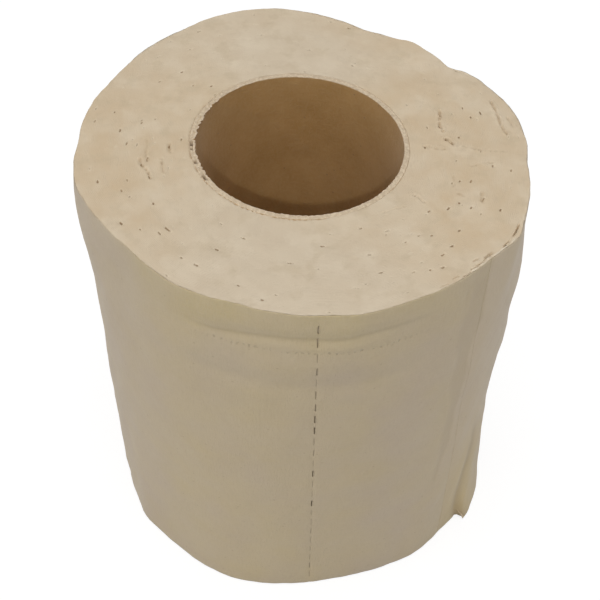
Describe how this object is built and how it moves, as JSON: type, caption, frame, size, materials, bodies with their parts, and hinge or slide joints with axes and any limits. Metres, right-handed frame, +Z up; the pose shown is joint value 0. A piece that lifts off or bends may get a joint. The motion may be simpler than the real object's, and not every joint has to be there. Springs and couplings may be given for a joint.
{
  "type": "toilet paper roll",
  "caption": "Unbleached toilet paper roll: a perforated sheet wound on a cardboard core, with its free edge and one loose corner at the side.",
  "frame": {"origin": "centre of the core's bore at the base, on the surface that the roll stands on", "axes": "+Z up along the core's axis; -Y is the front, with the perforation; the free edge of the last sheet is towards +X and -Y"},
  "size_m": [0.0942, 0.0941, 0.1],
  "materials": {
    "tissue_paper": "matte, soft, unbleached beige",
    "core_cardboard": "matte brown board with a spiral seam"
  },
  "bodies": {
    "root": {"paper_roll": "tissue_paper", "cardboard_core": "core_cardboard"}
  },
  "joints": []
}
